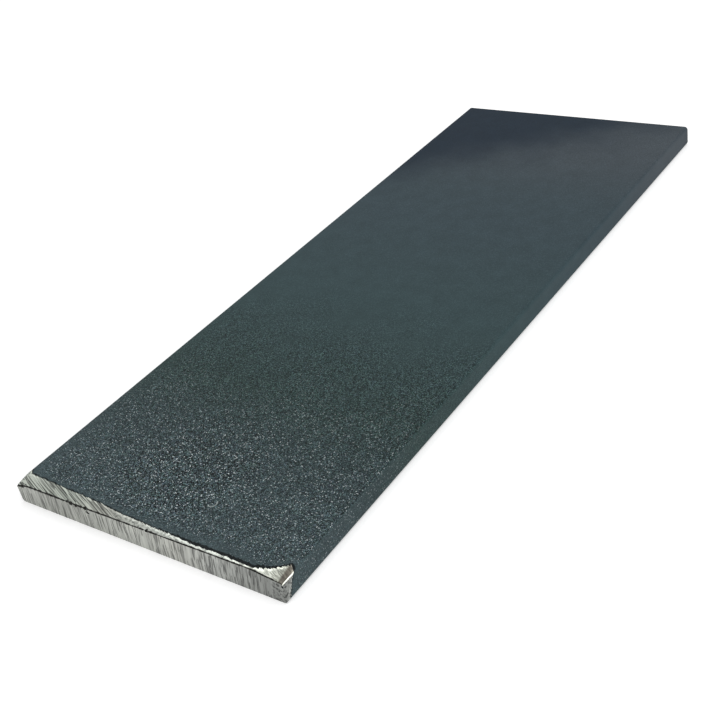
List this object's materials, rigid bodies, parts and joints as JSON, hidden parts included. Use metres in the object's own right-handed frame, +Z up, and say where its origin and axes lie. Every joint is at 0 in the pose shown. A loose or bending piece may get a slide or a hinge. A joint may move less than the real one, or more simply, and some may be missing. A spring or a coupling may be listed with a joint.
{
  "type": "metal flat bar",
  "caption": "Short cut length of hot-rolled mild steel flat bar with mill scale, one end dressed by hand grinding and the other cut square.",
  "frame": {"origin": "centre of the underside, on the surface the bar lies on", "axes": "+X across the bar's width, +Y along its length, away from the ground end, +Z up through its thickness"},
  "size_m": [0.04, 0.11, 0.003],
  "materials": {
    "mill_scale_steel": "dark blue-grey mill scale, matt and gritty, ground bright at the near end and its corners"
  },
  "bodies": {
    "root": {"flat_bar": "mill_scale_steel"}
  },
  "joints": []
}
